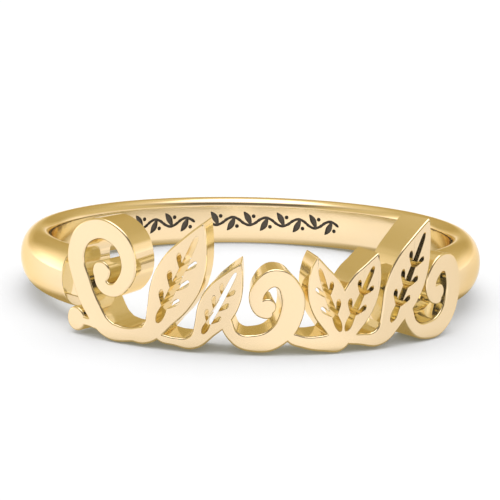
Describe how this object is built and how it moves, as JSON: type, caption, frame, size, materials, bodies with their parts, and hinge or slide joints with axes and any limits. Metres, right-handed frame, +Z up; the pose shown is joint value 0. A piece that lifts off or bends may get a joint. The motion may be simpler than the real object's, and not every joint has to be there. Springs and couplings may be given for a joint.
{
  "type": "finger ring",
  "caption": "Finger ring in yellow gold with a domed half-round band and a pierced front of leaf and tendril scrollwork curved to the finger, lying on its side.",
  "frame": {"origin": "on the table, under the middle of the ring's box", "axes": "+Z up from the table, the scroll front faces -Y and +X is to its right, seen from in front; the bore's axis leans back by 2.1 degrees because the deeper front props the ring up"},
  "size_m": [0.0198, 0.0204, 0.0047],
  "materials": {
    "gold": "polished"
  },
  "bodies": {
    "root": {"ring": "gold"}
  },
  "joints": []
}
